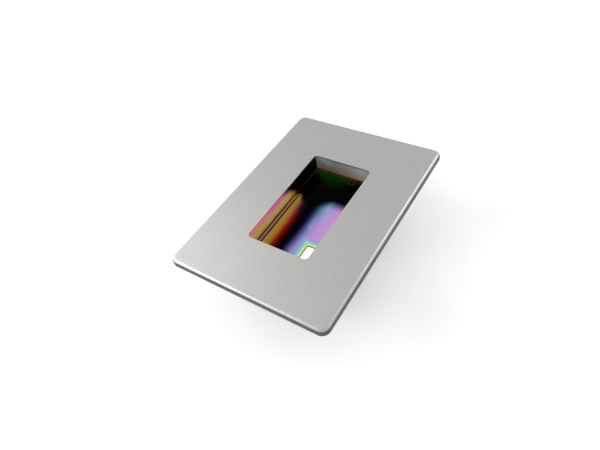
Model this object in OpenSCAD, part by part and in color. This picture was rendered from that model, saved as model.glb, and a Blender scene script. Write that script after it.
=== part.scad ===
// Flush fingerprint scanner terminal: a metal front plate with a finger recess, and its electronics behind.
// Z = 0 is the wall plane, +Z points out of the wall, and +Y points up the wall.

/* [Front plate] */
// Width of the front plate
plate_w = 84; // [76:0.5:110]
// Height of the front plate
plate_h = 116; // [108:0.5:150]
// Thickness of the front plate at its rim
plate_t = 3.5; // [3.2:0.1:6]
// Plan radius of the plate's corners
plate_corner_r = 4; // [3:0.1:8]
// Radius of the round along the plate's front edge
plate_edge_r = 1.9; // [0.5:0.1:2.4]
// Width of the solid rim that meets the wall
rim_w = 3; // [2:0.1:5]
// Thickness of the plate over its rear pocket
skin_t = 1.9; // [1.2:0.1:2]

/* [Finger recess] */
// Width of the finger opening
recess_w = 32.5; // [24:0.5:42]
// Length of the finger opening
recess_h = 61; // [54:0.5:76]
// Depth from the plate's face to the platen
recess_depth = 9.2; // [7:0.1:14]
// Corner radius of the finger opening
recess_corner_r = 2; // [1:0.1:4]
// Thickness of the lip round the opening
lip_t = 0.6; // [0.4:0.1:1.2]
// Overhang of the lip past the recess walls
lip_overhang = 0.2; // [0.1:0.05:0.6]
// Thickness of the wall round the recess
skirt_t = 1.5; // [1:0.1:2.5]

/* [Platen] */
// Thickness of the coated platen glass
platen_t = 2; // [1:0.1:4]
// Thickness of the gasket between recess wall and platen
gasket_t = 0.3; // [0.2:0.05:0.8]
// Width of gasket that shows inside the recess
gasket_show = 0.35; // [0.1:0.05:0.8]
// Thickness of the glass along each side of the recess
side_glass_t = 1.2; // [0.8:0.1:2]
// Width of the lit status window
status_w = 5.6; // [3:0.1:6]
// Length of the lit status window
status_h = 9.2; // [4:0.1:12]
// Outer radius of the finger sensor's ring
ring_r = 1.6; // [1:0.05:2]

/* [Housing] */
// Thickness of the housing's side walls
housing_wall = 1.4; // [1:0.1:2.5]
// Thickness of the housing's back
housing_back_t = 1.5; // [1.2:0.1:3]
// Room beside the recess for the light strips
side_room = 3.35; // [2.5:0.05:6]
// Room past the recess ends for the screw bosses
end_room = 3.4; // [3.4:0.1:6]
// Height of the optics carrier
carrier_h = 12.9; // [12.9:0.1:20]
// Thickness of the main circuit board
board_t = 1.6; // [0.8:0.1:2]
// Room for the parts under the main board
part_room = 5.8; // [5.8:0.1:12]

/* [Wall frame] */
// Thickness of the steel wall frame
frame_t = 1.2; // [0.8:0.1:1.5]
// Distance from the housing's end to a wall screw
screw_margin = 4.75; // [4.5:0.05:6]
// Width of a wall screw's slot
slot_w = 4.2; // [3.5:0.1:5]
// End to end length of a wall screw's slot
slot_l = 5.6; // [4.5:0.1:6]
// Width of the foam seal behind the plate
seal_w = 4; // [2:0.1:5]

/* [Terminals] */
// Number of wires that the plug takes
ways = 6; // [2:1:6]
// Distance between two wires
pitch = 3.81; // [3.5:0.01:3.81]

/* [Moving parts] */
// Travel of the tamper plunger
tamper_travel = 1.2; // [0.6:0.1:1.6]
// Travel of the programming button
button_travel = 0.6; // [0.3:0.1:0.7]
// Radial clearance round a sliding shaft
slide_clear = 0.08; // [0.05:0.01:0.1]

/* [Hidden] */
$fn = 64;
eps = 0.01;
// Clearance where one fixed piece drops into another
fit = 0.1;

// Levels, from the face down to the back
z_skin = plate_t - skin_t;
z_lip = plate_t - lip_t;
z_platen = plate_t - recess_depth;
z_gasket = z_platen + gasket_t;
z_platen_low = z_platen - platen_t;
z_board = z_platen_low - carrier_h;
z_board_low = z_board - board_t;
z_back_in = z_board_low - part_room;
z_back = z_back_in - housing_back_t;

// Half sizes, from the opening out to the housing
open_x = recess_w / 2;
open_y = recess_h / 2;
well_x = open_x + lip_overhang;
well_y = open_y + lip_overhang;
glass_x = well_x + side_glass_t;
skirt_x = glass_x + fit + skirt_t;
skirt_y = well_y + skirt_t;
inner_x = skirt_x + side_room;
inner_y = skirt_y + end_room;
seat_y = skirt_y - 3 * fit;
housing_x = inner_x + housing_wall;
housing_y = inner_y + housing_wall;
housing_r = 3;

// Wall frame
pocket_x = plate_w / 2 - rim_w;
pocket_y = plate_h / 2 - rim_w;
seal_gap = 0.6;
frame_x = pocket_x - seal_w - seal_gap - 0.4;
frame_y = pocket_y - seal_w - seal_gap - 0.4;
cut_gap = 0.4;
cut_x = housing_x + cut_gap;
cut_y = housing_y + cut_gap;
screw_y = housing_y + screw_margin;
tab_y = recess_h * 0.26;
tab_w = 7;
tab_len = 9;
catch_z = -3.5;
catch_h = 2.4;
catch_w = 4.4;
catch_out = 1.1;

// Screws that hold the optics carrier to the plate
boss_r = 1.65;
boss_x = open_x - 2.25;
boss_y = skirt_y + boss_r - 0.15;
small_screw_r = 0.95;
small_head_r = 1.45;
lug_t = 2.5;

// Screws that hold the housing and the main board to the carrier
post_r = 3.3;
post_x = inner_x - post_r;
post_y = inner_y - post_r;
screw_r = 1.2;
head_r = 2.1;
head_h = 1.4;
head_depth = 1.8;
thread_up = 6.6;

// Light strips
strip_t = 0.8;
strip_h = 5.4;
strip_z = z_platen + 4.2;
led_count = 3;
led_step = recess_h * 0.3;
led_size = [1.2, 3.2, 2.6];
aperture = [6, 8, 3.6];

// Camera and fold mirror, on an axis along Y
carrier_wall = 1.4;
floor_t = 1;
axis_z = z_platen_low - 5.5;
barrel_r = 4;
barrel_y = [-13.9, -1];
holder_half = 5.3;
holder_y = [-17, -12];
camera_y = holder_y[0];
camera_t = 1;
bulkhead_y = [-9, -7];
mirror_y = 12;
mirror_size = [22, 13, 1.5];

// Status window and finger sensor, placed from the far right corner of the platen
status_pos = [open_x - 8.45, 12.5 - open_y];
ring_pos = [open_x - 10.05, open_y - 2.8];
ring_wall = 0.45;
sensor_body = [3, 3, 2];

// Terminals
block_w = ways * pitch;
block_x = block_w / 2 + 0.47;
header_y = [-housing_y + 7, -housing_y + 16];
header_z = [z_back + 0.5, z_board_low];
plug_y = -housing_y + 0.2;
plug_gap = 0.3;
pin_z = (header_z[0] + header_z[1]) / 2;
pin_r = 0.5;
tongue = [block_x - 1.3, 3.9];
screw_line = (plug_y + header_y[0]) / 2;

// Tamper switch at the upper end
tamper_x = min(12, open_x - 4.25);
tamper_r = 1.2;
tamper_z = z_board_low - 2.4;
tamper_leg_y = cut_y + 1;
tamper_tip = tamper_leg_y - fit;
tamper_body = [6.4, 6, 4.8];
tamper_face = inner_y - 5.1;
collar_r = 1.9;
collar_t = 1;
spring_wire = 0.3;
spring_turns = 4;

// Programming button on the right side
button_y = -8;
button_r = 1.6;
button_z = z_board_low - 2.4;
button_stem_r = 1;
button_flange_r = 2.2;
button_body = [3.5, 6, 4.8];
button_face = inner_x - 1.9;

// ---- Shapes that repeat ----

// Box from its low corner to its high corner
module span(a, b) {
    translate(a) cube(b - a);
}

// Copies at the four corners of a rectangle
module corners(x, y) {
    for (sx = [-1, 1], sy = [-1, 1]) translate([sx * x, sy * y, 0]) children();
}

// Rounded rectangle with half sizes x and y
module plan(x, y, r) {
    square([2 * (x - r), 2 * y], center = true);
    square([2 * x, 2 * (y - r)], center = true);
    for (sx = [-1, 1], sy = [-1, 1]) translate([sx * (x - r), sy * (y - r)]) circle(r);
}

// Rounded block between two levels
module block(x, y, r, z0, z1) {
    translate([0, 0, z0]) linear_extrude(z1 - z0) plan(x, y, r);
}

// Rounded ring between two levels
module ring(x, y, r, w, z0, z1) {
    translate([0, 0, z0]) linear_extrude(z1 - z0) difference() {
        plan(x, y, r);
        plan(x - w, y - w, max(r - w, 0.2));
    }
}

// Quarter disc that rounds an edge
module quarter(r) {
    intersection() {
        circle(r);
        square(r);
    }
}

// Rod along Y between two places
module rod_y(r, y0, y1) {
    translate([0, y0, 0]) rotate([-90, 0, 0]) cylinder(r = r, h = y1 - y0);
}

// Rod along X between two places
module rod_x(r, x0, x1) {
    translate([x0, 0, 0]) rotate([0, 90, 0]) cylinder(r = r, h = x1 - x0);
}

// Cross-head screw with its head's underside at the origin, pointing up
module screw(r, h, head_r, head_h) {
    difference() {
        union() {
            translate([0, 0, -eps]) cylinder(r = r, h = h + eps);
            translate([0, 0, -head_h]) cylinder(r = head_r, h = head_h);
        }
        for (a = [0, 90]) rotate([0, 0, a]) translate([0, 0, -head_h])
            cube([head_r * 1.2, head_r * 0.3, head_h], center = true);
    }
}

// Flat part under the main board, centred at x and y
module board_part(x, y, size) {
    translate([x - size[0] / 2, y - size[1] / 2, z_board_low - size[2]]) cube(size);
}

// ---- Front plate and recess ----

// Plate with a rounded front edge and rounded corners
module rounded_slab() {
    x = plate_w / 2;
    y = plate_h / 2;
    r = plate_corner_r;
    e = plate_edge_r;
    z = plate_t - e;
    block(x, y, r, 0, z);
    block(x - e, y - e, r - e, z - eps, plate_t);
    for (s = [0, 180]) rotate([0, 0, s]) {
        translate([x - e, y - r, z]) rotate([90, 0, 0]) linear_extrude(2 * (y - r)) quarter(e);
        translate([r - x, y - e, z]) rotate([90, 0, 90]) linear_extrude(2 * (x - r)) quarter(e);
    }
    corners(x - r, y - r) translate([0, 0, z]) rotate_extrude() union() {
        square([r - e, e]);
        translate([r - e, 0]) quarter(e);
    }
}

// Holes that let the side light into the recess
module apertures(size) {
    for (s = [-1, 1], i = [0:led_count - 1])
        translate([s * (glass_x + skirt_t), (i - (led_count - 1) / 2) * led_step, strip_z]) {
            cube(size, center = true);
        }
}

module front_plate() {
    color("silver") difference() {
        union() {
            difference() {
                rounded_slab();
                block(pocket_x, pocket_y, plate_corner_r - 1, -1, z_skin);
            }
            span([-skirt_x, -skirt_y, z_gasket], [skirt_x, skirt_y, z_skin + eps]);
            corners(boss_x, boss_y) translate([0, 0, z_platen_low])
                cylinder(r = boss_r, h = z_skin - z_platen_low + eps);
        }
        block(open_x, open_y, recess_corner_r, z_lip - 1, plate_t + 1);
        span([-well_x, -well_y, z_gasket - 1], [well_x, well_y, z_lip]);
        span([-glass_x - fit, -well_y, z_gasket - 1], [glass_x + fit, well_y, z_lip]);
        apertures(aperture);
        corners(boss_x, boss_y) translate([0, 0, z_platen_low - 1])
            cylinder(r = small_screw_r, h = z_skin - z_platen_low);
    }
}

module plate_seal() {
    color("dimgray") ring(pocket_x - fit, pocket_y - fit, plate_corner_r - 1, seal_w, 0, z_skin);
}

// Dark glass along one side of the recess; s is -1 on the left and 1 on the right
module side_window(s) {
    low = [s * (well_x + glass_x) / 2 - side_glass_t / 2, fit / 2 - well_y, z_gasket];
    color("indigo") span(low, [low[0] + side_glass_t, well_y - fit / 2, z_lip - fit / 2]);
}

module side_window_left() {
    side_window(-1);
}

module side_window_right() {
    side_window(1);
}

module platen_gasket() {
    color("darkorange") difference() {
        span([-skirt_x, -seat_y, z_platen], [skirt_x, seat_y, z_gasket]);
        span([gasket_show - well_x, gasket_show - well_y, z_platen - 1],
            [well_x - gasket_show, well_y - gasket_show, z_gasket + 1]);
    }
}

module platen_glass() {
    color("midnightblue") difference() {
        span([-skirt_x, -seat_y, z_platen_low], [skirt_x, seat_y, z_platen]);
        translate([0, 0, z_platen_low - 1]) {
            translate([status_pos[0] - fit, status_pos[1] - status_h - fit, 0])
                cube([status_w + 2 * fit, status_h + 2 * fit, platen_t + 2]);
            translate(ring_pos) cylinder(r = ring_r + fit / 2, h = platen_t + 2);
        }
    }
}

// ---- Pieces set in the platen ----

module status_window() {
    color("white") translate([status_pos[0], status_pos[1] - status_h, z_platen_low])
        cube([status_w, status_h, platen_t + fit]);
}

module sensor_ring() {
    color("maroon") translate([ring_pos[0], ring_pos[1], z_platen_low]) difference() {
        cylinder(r = ring_r, h = platen_t + fit);
        translate([0, 0, -1]) cylinder(r = ring_r - ring_wall, h = platen_t + 2);
    }
}

module finger_sensor() {
    color("black") translate([ring_pos[0], ring_pos[1], z_platen_low]) {
        translate([0, 0, -sensor_body[2] / 2]) cube(sensor_body, center = true);
        translate([0, 0, -eps]) cylinder(r = ring_r - ring_wall - fit / 2, h = platen_t - fit);
    }
}

// ---- Side lighting ----

module light_strip(s) {
    mid = s * (skirt_x + strip_t / 2);
    long = well_y - 4;
    color("darkgreen") span([mid - strip_t / 2, -long, strip_z - strip_h / 2],
        [mid + strip_t / 2, long, strip_z + strip_h / 2]);
}

module light_strip_left() {
    light_strip(-1);
}

module light_strip_right() {
    light_strip(1);
}

module infrared_leds() {
    color("gray") for (s = [-1, 1], i = [0:led_count - 1])
        translate([s * (skirt_x - led_size[0] / 2), (i - (led_count - 1) / 2) * led_step, strip_z]) {
            cube(led_size, center = true);
        }
}

module strip_flexes() {
    color("orange") for (s = [-1, 1]) translate([s * (skirt_x + strip_t + fit), led_step + 5, 0])
        translate([-fit, -1.5, z_board]) cube([2 * fit, 3, strip_z - z_board]);
}

// ---- Optics ----

module carrier_shell() {
    in_x = skirt_x - carrier_wall;
    in_y = skirt_y - carrier_wall;
    difference() {
        span([-skirt_x, -skirt_y, z_board], [skirt_x, skirt_y, z_platen_low]);
        span([-in_x, -in_y, z_board + floor_t], [in_x, in_y, z_platen_low + 1]);
    }
    corners(boss_x, 0) translate([0, 0, z_platen_low - lug_t]) {
        span([-boss_r - 0.5, skirt_y - 1, 0], [boss_r + 0.5, inner_y - 0.2, lug_t]);
        span([-boss_r - 0.5, 0.2 - inner_y, 0], [boss_r + 0.5, 1 - skirt_y, lug_t]);
    }
    corners(post_x, post_y) translate([0, 0, z_board]) cylinder(r = post_r - 0.5, h = thread_up + 1);
}

// Wall across the carrier that steadies the lens barrel
module bulkhead() {
    span([-skirt_x + 1, bulkhead_y[0], z_board], [skirt_x - 1, bulkhead_y[1], z_platen_low - 1]);
}

// Wedge under the fold mirror, whose sloping face meets the mirror's back
module mirror_wedge() {
    floor_z = z_board + floor_t - eps;
    back = mirror_size[2] * sqrt(2);
    start = mirror_y + (floor_z - axis_z) + back;
    end = mirror_y + mirror_size[1] / 2 * cos(45) + back;
    translate([-mirror_size[0] / 2, 0, 0]) rotate([90, 0, 90]) linear_extrude(mirror_size[0])
        polygon([[start, floor_z], [end, floor_z], [end, floor_z + end - start]]);
}

module optics_carrier() {
    color("black") difference() {
        union() {
            carrier_shell();
            bulkhead();
            mirror_wedge();
        }
        translate([0, 0, axis_z]) rod_y(barrel_r + fit, bulkhead_y[0] - 1, bulkhead_y[1] + 1);
        corners(boss_x, boss_y) translate([0, 0, z_platen_low - lug_t - 1])
            cylinder(r = small_screw_r + fit, h = lug_t + 2);
        corners(post_x, post_y) translate([0, 0, z_board - 1])
            cylinder(r = screw_r + fit / 5, h = thread_up + 1);
        span([-6, camera_y - 11, z_board - 1], [6, camera_y - 2, z_board + floor_t + 1]);
        translate([status_pos[0], status_pos[1] - status_h, z_board - 1])
            cube([status_w, status_h, floor_t + 2]);
    }
}

module carrier_screws() {
    color("lightgray") corners(boss_x, boss_y) translate([0, 0, z_platen_low - lug_t])
        screw(small_screw_r - fit / 5, lug_t + 5, small_head_r, 1.2);
}

module fold_mirror() {
    color("lightblue") translate([0, mirror_y, axis_z]) rotate([45, 0, 0])
        translate([0, 0, -mirror_size[2] / 2]) cube(mirror_size, center = true);
}

module lens_barrel() {
    color("dimgray") translate([0, 0, axis_z]) difference() {
        union() {
            rod_y(barrel_r, barrel_y[0], barrel_y[1]);
            rod_y(barrel_r + 1, barrel_y[1] - 2, barrel_y[1]);
        }
        rod_y(barrel_r - 1.8, barrel_y[0] - 1, barrel_y[1] + 1);
        rod_y(barrel_r - 0.7, barrel_y[1] - 1.6, barrel_y[1] + 1);
    }
}

module front_lens() {
    r = barrel_r - 0.75;
    color("lightcyan") translate([0, barrel_y[1] - 1.6, axis_z]) {
        rod_y(r, 0, 0.9);
        intersection() {
            translate([0, 0.9 - 2 * r, 0]) sphere(2.2 * r);
            rod_y(r, 0.9 - eps, 2);
        }
    }
}

module lens_holder() {
    s = holder_half;
    color("black") translate([0, 0, axis_z]) difference() {
        span([-s, holder_y[0], -s], [s, holder_y[1], s]);
        span([-3.6, holder_y[0] - 1, -3.6], [3.6, holder_y[0] + 3, 3.6]);
        rod_y(barrel_r + fit / 5, holder_y[0] + 3 - eps, holder_y[1] + 1);
    }
}

module infrared_filter() {
    color("purple") translate([0, holder_y[0] + 2.5, axis_z])
        span([-3.5, 0, -3.5], [3.5, 0.5, 3.5]);
}

module image_sensor() {
    color("slategray") translate([0, camera_y, axis_z]) span([-3, 0, -3], [3, 0.8, 3]);
}

module camera_board() {
    color("darkgreen") span([-11, camera_y - camera_t, z_board + floor_t + 0.2],
        [11, camera_y, z_platen_low - 0.6]);
}

// Flat ribbon from the camera board down to the main board
module camera_flex() {
    y = camera_y - camera_t;
    t = 0.2;
    low = z_board + 1.2;
    color("orange") translate([-4, 0, 0]) rotate([90, 0, 90]) linear_extrude(8)
        polygon([[y, axis_z], [y - t, axis_z], [y - t, low + 2.2], [y - 2, low + t],
            [y - 5, low + t], [y - 5, low], [y - 1.9, low], [y, low + 2.1]]);
}

module board_connector() {
    y = camera_y - camera_t;
    color("ivory") difference() {
        span([-5, y - 7, z_board], [5, y - 4, z_board + 2]);
        span([-4.2, y - 5.2, z_board + 1.1], [4.2, y - 3, z_board + 1.5]);
    }
}

module light_pipe() {
    color("aliceblue") translate([status_pos[0] + 0.6, status_pos[1] - status_h + 0.6, z_board + 1])
        cube([status_w - 1.2, status_h - 1.2, z_platen_low - z_board - 1]);
}

module status_leds() {
    color("lightyellow") for (i = [-1, 1])
        translate([status_pos[0] + status_w / 2, status_pos[1] - status_h / 2 + i * 2, z_board + 0.4])
            cube([1.6, 1.2, 0.8], center = true);
}

// ---- Main board ----

module main_board() {
    color("darkgreen") difference() {
        block(inner_x - 0.3, inner_y - 0.3, 1.5, z_board_low, z_board);
        corners(post_x, post_y) translate([0, 0, z_board_low - 1])
            cylinder(r = screw_r + 2 * fit, h = board_t + 2);
    }
}

module processor() {
    color("black") board_part(-8, 4, [14, 14, 1.2]);
}

module memory_chips() {
    color("black") board_part(-8, -11, [8, 10, 1]);
    color("black") board_part(2, -13, [8, 9, 1]);
}

module power_inductor() {
    color("dimgray") board_part(9, -4.6, [7, 7, 3.5]);
}

module capacitors() {
    color("gray") for (i = [0:2]) translate([open_x + 1.2, 6 + i * 6, z_board_low - 5])
        cylinder(r = 2.1, h = 5);
}

module crystal_oscillator() {
    color("lightgray") board_part(2 - open_x - 4, 4, [3.2, 5, 1]);
}

module relay() {
    color("ivory") board_part(8, 10, [10, 15, 5.2]);
}

module buzzer() {
    color("black") translate([-11, 21, z_board_low - 3.2]) difference() {
        cylinder(r = 4.6, h = 3.2);
        translate([0, 0, -1]) cylinder(r = 0.7, h = 2.5);
    }
}

// ---- Terminals ----

// Copies at each wire
module each_way() {
    for (i = [0:ways - 1]) translate([(i - (ways - 1) / 2) * pitch, 0, 0]) children();
}

module terminal_header() {
    color("green") difference() {
        span([-block_x, header_y[0], header_z[0]], [block_x, header_y[1], header_z[1]]);
        span([-tongue[0] - plug_gap, header_y[0] - 1, pin_z - tongue[1] / 2 - plug_gap],
            [tongue[0] + plug_gap, header_y[1] - 2, pin_z + tongue[1] / 2 + plug_gap]);
    }
}

module header_pins() {
    back = header_y[1] - 1;
    color("gold") each_way() {
        translate([0, 0, pin_z]) rod_y(pin_r, header_y[0] + 1, back);
        translate([0, back - pin_r, pin_z]) cylinder(r = pin_r, h = z_board_low - pin_z);
    }
}

module terminal_plug() {
    tip = header_y[1] - 2 - plug_gap;
    heel = header_y[0] - plug_gap;
    color("limegreen") difference() {
        union() {
            span([-block_x, plug_y, header_z[0]], [block_x, heel, header_z[1] - 0.4]);
            span([-tongue[0], heel - eps, pin_z - tongue[1] / 2], [tongue[0], tip, pin_z + tongue[1] / 2]);
        }
        each_way() {
            translate([0, 0, pin_z]) rod_y(pin_r + plug_gap, header_y[0] - 0.5, tip + 1);
            span([-1.3, plug_y - 1, pin_z - 1.3], [1.3, heel - 1.5, pin_z + 1.3]);
            translate([0, screw_line, header_z[0] - 1]) cylinder(r = 1.45, h = 1 + pin_z - header_z[0]);
        }
    }
}

module clamp_screws() {
    color("lightgray") each_way() translate([0, screw_line, header_z[0] + 0.4]) difference() {
        cylinder(r = 1.4, h = 1.6);
        cube([2.2, 0.5, 1], center = true);
    }
}

// ---- Tamper switch and programming button ----

module tamper_switch() {
    half = tamper_body[0] / 2;
    color("black") translate([tamper_x, 0, 0]) difference() {
        span([-half, tamper_face - tamper_body[1], z_board_low - tamper_body[2]],
            [half, tamper_face, z_board_low]);
        translate([0, 0, tamper_z])
            rod_y(tamper_r + slide_clear, tamper_face - tamper_body[1] + 1, tamper_face + 1);
    }
}

module tamper_plunger() {
    color("ivory") translate([tamper_x, 0, tamper_z]) {
        rod_y(tamper_r, tamper_face - tamper_body[1] + 1.3 + tamper_travel, tamper_tip - 0.5);
        rod_y(collar_r, inner_y - fit - collar_t, inner_y - fit);
        translate([0, tamper_tip - 0.5 - eps, 0]) rotate([-90, 0, 0])
            cylinder(r1 = tamper_r, r2 = tamper_r - 0.5, h = 0.5 + eps);
    }
}

module tamper_spring() {
    from = tamper_face + spring_wire / 2;
    step = (inner_y - fit - collar_t - spring_wire / 2 - from) / spring_turns;
    color("lightgray") translate([tamper_x, 0, tamper_z]) for (i = [0:spring_turns])
        translate([0, from + i * step, 0]) rotate([90, 0, 0]) rotate_extrude()
            translate([(tamper_r + collar_r) / 2 + fit, 0]) circle(spring_wire / 2, $fn = 16);
}

module program_switch() {
    half = button_body[1] / 2;
    color("black") difference() {
        span([button_face - button_body[0], button_y - half, z_board_low - button_body[2]],
            [button_face, button_y + half, z_board_low]);
        translate([0, button_y, button_z])
            rod_x(button_stem_r + slide_clear, button_face - button_body[0] + 0.8, button_face + 1);
    }
}

module program_button() {
    color("red") translate([0, button_y, button_z]) {
        rod_x(button_stem_r, button_face - button_body[0] + 1.1 + button_travel, inner_x - 1 + eps);
        rod_x(button_flange_r, inner_x - 1, inner_x - fit);
        rod_x(button_r, inner_x - fit - eps, housing_x - 0.2);
    }
}

// ---- Housing and wall frame ----

module housing_seal() {
    color("black") ring(housing_x, housing_y, housing_r, housing_wall, z_skin - 0.6, z_skin);
}

// Ramp on the housing's side that snaps into a tab of the wall frame
module catch() {
    translate([0, catch_w / 2, 0]) rotate([90, 0, 0]) linear_extrude(catch_w)
        polygon([[housing_x - 0.5, catch_z], [housing_x + catch_out, catch_z],
            [housing_x, catch_z - catch_h], [housing_x - 0.5, catch_z - catch_h]]);
}

module housing_shell() {
    difference() {
        block(housing_x, housing_y, housing_r, z_back, z_skin - 0.6);
        block(inner_x, inner_y, housing_r - housing_wall, z_back_in, z_skin);
    }
    corners(post_x, post_y) translate([0, 0, z_back]) cylinder(r = post_r, h = z_board_low - z_back);
    for (s = [0, 180], y = [-tab_y, tab_y]) rotate([0, 0, s]) translate([0, y, 0]) catch();
}

module housing() {
    slot = block_x + 0.4;
    color([0.16, 0.16, 0.17]) difference() {
        housing_shell();
        span([-slot, -housing_y - 1, z_back - 1], [slot, header_y[1] + 0.3, z_board_low]);
        corners(post_x, post_y) translate([0, 0, z_back - 1]) {
            cylinder(r = screw_r + fit, h = 2 + z_board_low - z_back);
            cylinder(r = head_r + 2 * fit, h = 1 + head_depth);
        }
        translate([tamper_x, 0, tamper_z]) rod_y(tamper_r + slide_clear, inner_y - 1, housing_y + 1);
        translate([0, button_y, button_z]) rod_x(button_r + slide_clear, inner_x - 1, housing_x + 1);
    }
}

module housing_screws() {
    color("lightgray") corners(post_x, post_y) translate([0, 0, z_back + head_depth])
        screw(screw_r, z_board + thread_up - 1 - z_back - head_depth, head_r, head_h);
}

// Slot of the wall frame, along Y
module screw_slot() {
    r = slot_w / 2;
    run = slot_l / 2 - r;
    for (y = [-run, run]) translate([0, y, -1]) cylinder(r = r, h = frame_t + 2);
    translate([-r, -run, -1]) cube([slot_w, 2 * run, frame_t + 2]);
}

// Sprung tab with a window for the housing's catch
module frame_tab() {
    difference() {
        span([cut_x, -tab_w / 2, -tab_len], [cut_x + frame_t, tab_w / 2, frame_t]);
        span([cut_x - 1, -catch_w / 2 - 0.3, catch_z - catch_h - 0.3],
            [cut_x + frame_t + 1, catch_w / 2 + 0.3, catch_z + 0.3]);
    }
}

module wall_frame() {
    color("lightsteelblue") difference() {
        union() {
            block(frame_x, frame_y, 3, 0, frame_t);
            for (s = [0, 180], y = [-tab_y, tab_y]) rotate([0, 0, s]) translate([0, y, 0]) frame_tab();
            span([tamper_x - 3.5, tamper_leg_y, tamper_z - 2.5],
                [tamper_x + 3.5, tamper_leg_y + frame_t, frame_t]);
        }
        block(cut_x, cut_y, housing_r + cut_gap, -tab_len - 20, frame_t + 1);
        for (y = [-screw_y, screw_y]) translate([0, y, 0]) screw_slot();
    }
}

front_plate();
plate_seal();
side_window_left();
side_window_right();
platen_gasket();
platen_glass();
status_window();
sensor_ring();
finger_sensor();
light_strip_left();
light_strip_right();
infrared_leds();
strip_flexes();
optics_carrier();
carrier_screws();
fold_mirror();
lens_barrel();
front_lens();
lens_holder();
infrared_filter();
image_sensor();
camera_board();
camera_flex();
board_connector();
light_pipe();
status_leds();
main_board();
processor();
memory_chips();
power_inductor();
capacitors();
crystal_oscillator();
relay();
buzzer();
terminal_header();
header_pins();
terminal_plug();
clamp_screws();
tamper_switch();
tamper_plunger();
tamper_spring();
program_switch();
program_button();
housing_seal();
housing();
housing_screws();
wall_frame();
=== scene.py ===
"""Flush fingerprint scanner terminal: its surfaces, its small shapes and a plain studio round it.

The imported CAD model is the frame. Every size is in metres and is read from that frame where it can be.
"""
import math

import bmesh
import bpy
from bpy.props import FloatProperty, FloatVectorProperty, PointerProperty
from mathutils import Matrix, Vector


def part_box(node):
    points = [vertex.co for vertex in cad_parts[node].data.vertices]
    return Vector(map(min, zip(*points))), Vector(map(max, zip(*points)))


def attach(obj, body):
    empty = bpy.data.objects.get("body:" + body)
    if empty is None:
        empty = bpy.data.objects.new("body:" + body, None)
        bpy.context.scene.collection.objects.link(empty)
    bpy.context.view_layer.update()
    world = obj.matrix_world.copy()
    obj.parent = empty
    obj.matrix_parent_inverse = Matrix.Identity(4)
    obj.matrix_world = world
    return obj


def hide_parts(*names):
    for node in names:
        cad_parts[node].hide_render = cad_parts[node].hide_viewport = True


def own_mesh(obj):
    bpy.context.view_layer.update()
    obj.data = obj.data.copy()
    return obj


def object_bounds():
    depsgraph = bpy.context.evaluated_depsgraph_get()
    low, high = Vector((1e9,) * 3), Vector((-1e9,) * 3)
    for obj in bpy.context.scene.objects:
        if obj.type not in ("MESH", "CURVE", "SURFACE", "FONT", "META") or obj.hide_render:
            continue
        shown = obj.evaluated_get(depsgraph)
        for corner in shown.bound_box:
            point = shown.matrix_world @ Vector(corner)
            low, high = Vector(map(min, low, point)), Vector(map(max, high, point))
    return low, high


bl_info = {
    "name": "Fingerprint scanner terminal",
    "version": (1, 0, 0),
    "blender": (4, 5, 0),
    "location": "View3D > Sidebar > Terminal",
    "description": "Builds the finished surfaces of a flush fingerprint scanner terminal",
    "category": "Object",
}

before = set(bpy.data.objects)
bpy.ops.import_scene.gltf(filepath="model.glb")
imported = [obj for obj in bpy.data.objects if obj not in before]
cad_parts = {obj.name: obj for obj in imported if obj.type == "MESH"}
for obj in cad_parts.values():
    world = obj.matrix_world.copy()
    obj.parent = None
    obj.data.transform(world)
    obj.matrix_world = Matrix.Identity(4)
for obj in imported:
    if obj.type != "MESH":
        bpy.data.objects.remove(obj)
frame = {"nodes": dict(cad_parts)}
cad_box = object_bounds()

MM = 0.001
BODY = "terminal"
SHARP = 0.03 * MM      # radius of a corner that is meant to be sharp
SMOOTH_DEG = 35        # shading breaks at edges sharper than this
SOFT = 0.3             # how far the middle point of a small round stands from its two faces, of its radius
LIP_TALL = 0.6 * MM    # the finger opening's lip, over the wider recess

PLATE_LOW, PLATE_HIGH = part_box("front_plate")
SEAL_LOW, SEAL_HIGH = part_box("plate_seal")
GASKET_LOW, GASKET_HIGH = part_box("platen_gasket")
GLASS_LOW, GLASS_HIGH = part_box("side_window_right")
WINDOW_LOW, WINDOW_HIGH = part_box("status_window")

# Half the finger opening, and half the wider recess under its lip
OPEN_X, OPEN_Y = PLATE_HIGH.x - 25.75 * MM, PLATE_HIGH.y - 27.5 * MM
WELL_X, WELL_Y = OPEN_X + 1.5 * MM, OPEN_Y + 0.2 * MM


# ---- Small helpers ----

def srgb(text):
    """Linear colour with alpha from an sRGB hex value such as 'c8c8c6'."""
    parts = [int(text[i:i + 2], 16) / 255 for i in (0, 2, 4)]
    return tuple(p / 12.92 if p <= 0.04045 else ((p + 0.055) / 1.055) ** 2.4 for p in parts) + (1.0,)


def add(tree, kind, *feeds, stops=(), **settings):
    """Adds a shader node and returns its first output.

    feeds go to the inputs in use, in order: an output is linked, and a number or a hex colour is set.
    stops are a ramp's places and colours, in order. Other settings are properties or inputs, by name.
    """
    node = tree.nodes.new("ShaderNode" + kind)
    named = {key: value for key, value in settings.items() if not hasattr(node, key)}
    for key, value in settings.items():
        if key not in named:
            setattr(node, key, value)
    if stops:
        ramp = node.color_ramp.elements
        for end in (0, -1):
            ramp[end].position = stops[end][0]
            ramp[end].color = srgb(stops[end][1])
        for place, colour in stops[1:-1]:
            ramp.new(place).color = srgb(colour)
    used = [socket for socket in node.inputs if socket.enabled]
    pairs = list(zip(used, feeds)) + [(node.inputs[key.replace("_", " ")], named[key]) for key in named]
    for socket, value in pairs:
        if isinstance(value, bpy.types.NodeSocket):
            tree.links.new(value, socket)
        else:
            socket.default_value = srgb(value) if isinstance(value, str) else value
    return next(socket for socket in node.outputs if socket.enabled)


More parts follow.
